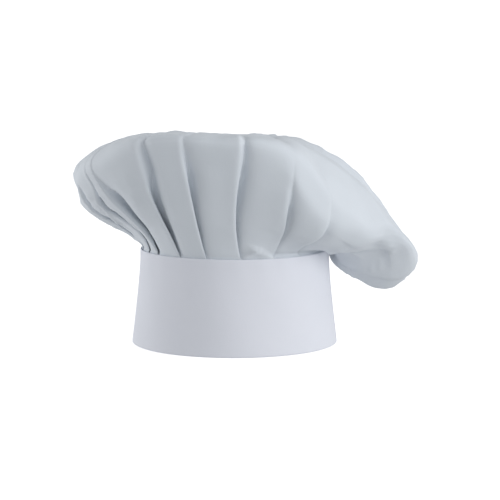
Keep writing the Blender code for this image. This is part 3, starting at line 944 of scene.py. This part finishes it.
inner_face = -BAND_INSET
seam_z = BAND_H - 0.005
loop_start = under_end - arc(0.003)
loop_end = loop_start - arc(0.042)
hook_end = tab_end + arc(0.004)
hook_start = hook_end + arc(0.036)
label_middle = 152.0
label_half = arc(0.012)
seam_run = [(a, seam_z) for a in np.linspace(SPLIT + 1, under_end + 359, 24)]
stitches("crown_seam_stitches", "crown_seam_thread", "hat", seam_run, inner_face, -1)
stitches("loop_tape_stitches", "loop_tape_thread", "hat",
         box_corners(loop_start, loop_end, 0.0025), inner_face, -1)
stitches("underlap_end_stitches", "underlap_end_thread", "hat",
         [(under_end + 359.1, 0.003), (under_end + 359.1, BAND_H - 0.010)], inner_face, -1)
stitches("hook_tape_stitches", "hook_tape_thread", "closure_tab",
         box_corners(hook_start, hook_end, 0.0025), TAB_PROUD, 1)
stitches("tab_end_stitches", "tab_end_thread", "closure_tab",
         [(tab_end + arc(0.0025), TAB_Z[0] + 0.003), (tab_end + arc(0.0025), TAB_Z[1] - 0.003)], TAB_PROUD, 1)
stitches("size_label_stitches", "size_label_thread", "hat",
         [(label_middle - label_half + 1.0, 0.0755), (label_middle + label_half - 1.0, 0.0755)],
         inner_face - 0.0011, -1)


def tape_base(azimuths, low, high, columns, rows, seed=None):
    """A closed flat strip of tape on the band's face; with a seed its outer face is uneven, like pile."""
    heights = np.linspace(TAPE_Z[0], TAPE_Z[1], rows)
    turns = np.linspace(azimuths[0], azimuths[1], columns)
    top = np.array([on_face(a, heights, high) for a in turns])
    bottom = np.array([on_face(a, heights, low) for a in turns])
    if seed is not None:
        lumps = np.random.default_rng(seed).normal(0, 0.00011, top.shape[:2])
        lumps[[0, -1]] = 0
        lumps[:, [0, -1]] = 0
        top = top + lumps[..., None] * polar(turns[:, None], 1.0, np.zeros((1, rows)))
    vertices = np.concatenate([top.reshape(-1, 3), bottom.reshape(-1, 3)])
    index = np.arange(columns * rows).reshape(columns, rows)
    under = index + columns * rows
    quads = [
        np.stack([index[:-1, :-1], index[1:, :-1], index[1:, 1:], index[:-1, 1:]], -1).reshape(-1, 4),
        np.stack([under[:-1, :-1], under[:-1, 1:], under[1:, 1:], under[1:, :-1]], -1).reshape(-1, 4),
    ]
    for top_edge, low_edge in (
        (index[:, 0], under[:, 0]), (index[::-1, -1], under[::-1, -1]),
        (index[0, ::-1], under[0, ::-1]), (index[-1], under[-1]),
    ):
        quads.append(np.stack([top_edge[:-1], low_edge[:-1], low_edge[1:], top_edge[1:]], -1))
    around = np.radians(turns)[:, None] * LAID_RADIUS
    uv = np.stack(np.broadcast_arrays(around, heights[None, :]), -1).reshape(-1, 2)
    return vertices, np.concatenate(quads), np.zeros((0, 4), int), np.concatenate([uv, uv])


def tape_spots(azimuths, pitch, jitter, seed):
    """Evenly spread (azimuth, z) places on a tape, each shifted a little."""
    rng = np.random.default_rng(seed)
    length = abs(azimuths[1] - azimuths[0]) / arc(1.0)
    columns = int(length / pitch) - 1
    rows = int((TAPE_Z[1] - TAPE_Z[0]) / pitch) - 1
    for i in range(columns):
        for j in range(rows):
            shift = rng.uniform(-jitter, jitter, 2)
            azimuth = azimuths[0] + (azimuths[1] - azimuths[0]) * (i + 1 + shift[0]) / (columns + 1)
            yield azimuth, TAPE_Z[0] + (TAPE_Z[1] - TAPE_Z[0]) * (j + 1 + shift[1]) / (rows + 1), rng


def loop_pile():
    """Brushed loops standing off their knitted base."""
    ends = (loop_start, loop_end)
    parts = [tape_base(ends, 0.00005, 0.00062, 60, 70, seed=5)]
    for azimuth, z, rng in tape_spots(ends, 0.00115, 0.45, 6):
        heading = rng.uniform(0, 2 * math.pi)
        span = rng.uniform(0.0004, 0.0008)
        rise = rng.uniform(0.0005, 0.00085)
        t = np.linspace(0, math.pi, 6)
        along = span * np.cos(t)
        line = on_face(azimuth + arc(1.0) * along * math.cos(heading), z + along * math.sin(heading),
                       0.0006 + rise * np.sin(t))
        parts.append(tube(line, np.full(6, 0.00006), 3, polar(azimuth, 1.0, 0.3)))
    return joined(parts, "loop_tape_pile", loop_fabric)


def hook_field():
    """Rows of small moulded hooks on their woven base; the hooks point in to the loops."""
    ends = (hook_start, hook_end)
    parts = [tape_base(ends, 0.00215, 0.00262, 24, 30)]
    for number, (azimuth, z, rng) in enumerate(tape_spots(ends, 0.0016, 0.06, 8)):
        way = 1 if number % 2 else -1
        reach = np.array([0.0, 0.0, 0.00008, 0.00028, 0.00046, 0.0005]) * way
        depth = np.array([0.0022, 0.0018, 0.00148, 0.00134, 0.00146, 0.00166])
        line = on_face(azimuth + arc(1.0) * reach, np.full(6, z), depth)
        parts.append(tube(line, np.array([0.00014, 0.00012, 0.00011, 0.0001, 0.0001, 0.00008]), 4))
    return joined(parts, "hook_tape_hooks", hook_nylon)


for made, node, body, slot_name in (
    (loop_pile(), "loop_tape", "hat", "loop_tape"),
    (hook_field(), "hook_tape", "closure_tab", "hook_tape"),
):
    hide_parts(node)
    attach(made, body)


def size_label():
    """A folded satin ribbon, blank, held at its top and curling off the band at its fold."""
    turns = np.linspace(label_middle - label_half, label_middle + label_half, 26)
    down = np.linspace(0.0, 1.0, 26)
    fold = np.linspace(-90, 90, 9)[1:-1]
    rows = []
    for a in turns:
        across = (a - label_middle) / label_half
        curl = 0.0016 * down ** 2 * (0.8 + 0.3 * across)
        outer = on_face(a, 0.0780 - 0.0310 * down, inner_face - 0.00035 - curl)
        z_turn = 0.0470 - 0.0005 * np.cos(np.radians(fold))
        turn = on_face(a, z_turn, inner_face - 0.00065 - curl[-1] - 0.0003 * np.sin(np.radians(fold)))
        inner = on_face(a, 0.0470 + 0.0310 * down, inner_face - 0.00095 - curl[::-1])
        rows.append(np.concatenate([outer, turn, inner]))
    points = np.array(rows)
    made = grid_object("size_label_ribbon", points, False, laid(turns, section_lengths(points)))
    thicken(made, 0.00016, 0.0)
    made.data.materials.append(label_satin)
    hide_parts("size_label")
    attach(made, "hat")


size_label()

# ---------------------------------------------------------------- camera, light and floor

camera_data = bpy.data.cameras.new("camera")
camera_data.lens = 187.4
camera_data.sensor_width = 36.0
camera_data.clip_end = 60
camera = bpy.data.objects.new("camera", camera_data)
bpy.context.scene.collection.objects.link(camera)
camera.location = (0.0144, -2.4, 0.400)
aim = Vector((0.0144, 0.0, 0.0856)) - camera.location
camera.rotation_euler = aim.to_track_quat("-Z", "Y").to_euler()
bpy.context.scene.camera = camera
bpy.context.scene.view_settings.view_transform = "Standard"

world = bpy.data.worlds.new("studio")
world.use_nodes = True
tree = world.node_tree
back = tree.nodes["Background"]
coords = tree.nodes.new("ShaderNodeTexCoord")
split = tree.nodes.new("ShaderNodeSeparateXYZ")
tree.links.new(coords.outputs["Generated"], split.inputs[0])


def world_ramp(axis, low, high, from_value, to_value):
    node = tree.nodes.new("ShaderNodeMapRange")
    node.interpolation_type = "SMOOTHSTEP"
    set_inputs(node, From_Min=low, From_Max=high, To_Min=from_value, To_Max=to_value)
    tree.links.new(split.outputs[axis], node.inputs["Value"])
    return node.outputs["Result"]


def world_add(a, b):
    node = tree.nodes.new("ShaderNodeMath")
    node.operation = "ADD"
    tree.links.new(a, node.inputs[0])
    tree.links.new(b, node.inputs[1])
    return node.outputs[0]


glow = world_add(world_ramp("Y", 0.0, 0.8, 0.0, 0.06), world_ramp("X", -0.6, 0.9, 0.0, 0.23))
glow = world_add(glow, world_ramp("Z", -0.9, 0.1, 0.43, 0.54))
glow = world_add(glow, world_ramp("Z", 0.2, 1.0, 0.0, -0.14))
tree.links.new(glow, back.inputs["Strength"])
back.inputs["Color"].default_value = (0.97, 0.985, 1.0, 1)
bpy.context.scene.world = world


def soft_light(name, place, size, power, colour=(1, 1, 1), aim_at=(0, 0, 0.12)):
    data = bpy.data.lights.new(name, "AREA")
    data.shape = "SQUARE"
    data.size = size
    data.energy = power
    data.color = colour
    light = bpy.data.objects.new(name, data)
    light.location = place
    direction = Vector(aim_at) - Vector(place)
    light.rotation_euler = direction.to_track_quat("-Z", "Y").to_euler()
    bpy.context.scene.collection.objects.link(light)
    return light


soft_light("key", (1.86, -1.40, 0.88), 1.2, 19)
soft_light("edge", (-1.90, 0.60, 0.12), 0.9, 15)


def stage_material(name, strength):
    made = bpy.data.materials.new(name)
    made.use_nodes = True
    shader = made.node_tree.nodes["Principled BSDF"]
    shader.inputs["Base Color"].default_value = (0.9, 0.9, 0.9, 1)
    shader.inputs["Roughness"].default_value = 0.95
    shader.inputs["Emission Color"].default_value = (1, 1, 1, 1)
    shader.inputs["Emission Strength"].default_value = strength
    return made


def out_of_the_light(obj):
    """The stage is seen, but adds no light of its own to the object and shades nothing."""
    obj.visible_diffuse = False
    obj.visible_glossy = False
    obj.visible_shadow = False


bpy.ops.mesh.primitive_circle_add(vertices=96, radius=12, fill_type="NGON", location=(0, 0, -0.0004))
floor = bpy.context.object
floor.name = "floor"
floor.data.materials.append(stage_material("floor", 0.62))
out_of_the_light(floor)
bpy.ops.mesh.primitive_uv_sphere_add(segments=48, ring_count=24, radius=14, location=(0, 0, 0))
backdrop = bpy.context.object
backdrop.name = "backdrop"
backdrop.data.materials.append(stage_material("backdrop", 1.0))
out_of_the_light(backdrop)

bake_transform(tab)
